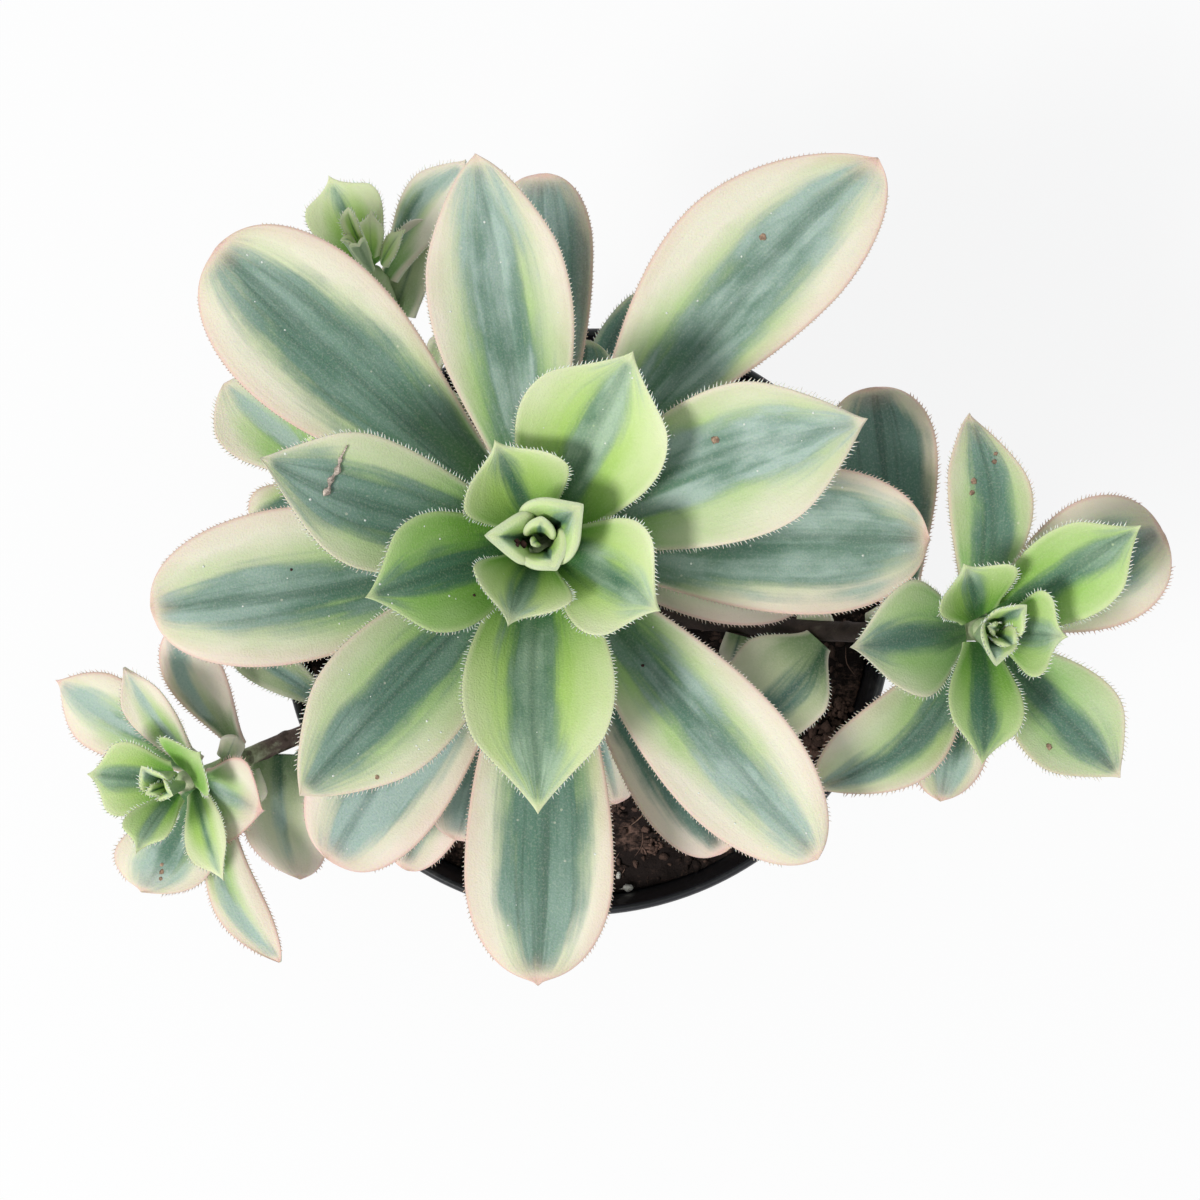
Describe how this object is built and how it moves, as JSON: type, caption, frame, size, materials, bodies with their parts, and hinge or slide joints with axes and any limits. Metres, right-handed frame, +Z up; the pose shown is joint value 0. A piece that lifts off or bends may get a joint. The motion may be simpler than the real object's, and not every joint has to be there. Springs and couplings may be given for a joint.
{
  "type": "potted succulent",
  "caption": "Variegated rosette succulent in a round plastic nursery pot: fringed cream and green leaves on a leaning stem, with side shoots on thin branches over potting soil.",
  "frame": {"origin": "centre of the pot's underside, on the surface it stands on", "axes": "+Z up out of the pot; +Y is the top of the picture and +X its right side"},
  "size_m": [0.2035, 0.1505, 0.1888],
  "materials": {
    "pot_plastic": "thin black moulded plastic with a satin sheen, slightly blue-grey on the lip",
    "soil": "crumbly dark brown peat with paler clods and a few white grains",
    "stem_bark": "thin grey-brown bark with leaf scars, turning pale green below each rosette",
    "young_leaf": "fleshy bright green leaf with a dark green centre and a pale fringed edge",
    "open_leaf": "fleshy leaf with a grey-green stripe, cream bands and a pink fringed edge",
    "old_leaf": "dull green leaf with a darker stripe and cream to pink edges"
  },
  "bodies": {
    "root": {"pot": "pot_plastic", "potting_soil": "soil", "main_stem": "stem_bark", "left_branch": "stem_bark", "right_branch": "stem_bark", "back_left_branch": "stem_bark", "west_branch": "stem_bark", "main_bud": "young_leaf", "left_bud": "young_leaf", "right_bud": "young_leaf", "back_left_bud": "young_leaf", "main_leaf_01": "young_leaf", "main_leaf_02": "young_leaf", "main_leaf_03": "young_leaf", "main_leaf_04": "young_leaf", "main_leaf_05": "young_leaf", "main_leaf_06": "young_leaf", "main_leaf_07": "open_leaf", "main_leaf_08": "open_leaf", "main_leaf_09": "open_leaf", "main_leaf_10": "open_leaf", "main_leaf_11": "open_leaf", "main_leaf_12": "open_leaf", "main_leaf_13": "open_leaf", "main_leaf_14": "open_leaf", "main_leaf_15": "open_leaf", "main_leaf_16": "open_leaf", "main_leaf_17": "old_leaf", "main_leaf_18": "old_leaf", "main_leaf_19": "old_leaf", "main_leaf_20": "old_leaf", "main_leaf_21": "old_leaf", "left_leaf_01": "young_leaf", "left_leaf_02": "young_leaf", "left_leaf_03": "young_leaf", "left_leaf_04": "young_leaf", "left_leaf_05": "open_leaf", "left_leaf_06": "open_leaf", "left_leaf_07": "open_leaf", "left_leaf_08": "open_leaf", "left_leaf_09": "open_leaf", "right_leaf_01": "young_leaf", "right_leaf_02": "young_leaf", "right_leaf_03": "young_leaf", "right_leaf_04": "young_leaf", "right_leaf_05": "open_leaf", "right_leaf_06": "open_leaf", "right_leaf_07": "open_leaf", "right_leaf_08": "open_leaf", "right_leaf_09": "open_leaf", "right_leaf_10": "open_leaf", "back_left_leaf_01": "young_leaf", "back_left_leaf_02": "open_leaf", "west_leaf_01": "open_leaf", "left_branch_leaf_hanging": "old_leaf", "left_branch_leaf_front": "old_leaf", "left_branch_leaf_inner": "old_leaf", "left_branch_leaf_back": "old_leaf", "right_branch_leaf_front": "old_leaf", "right_branch_leaf_back": "old_leaf"}
  },
  "joints": []
}
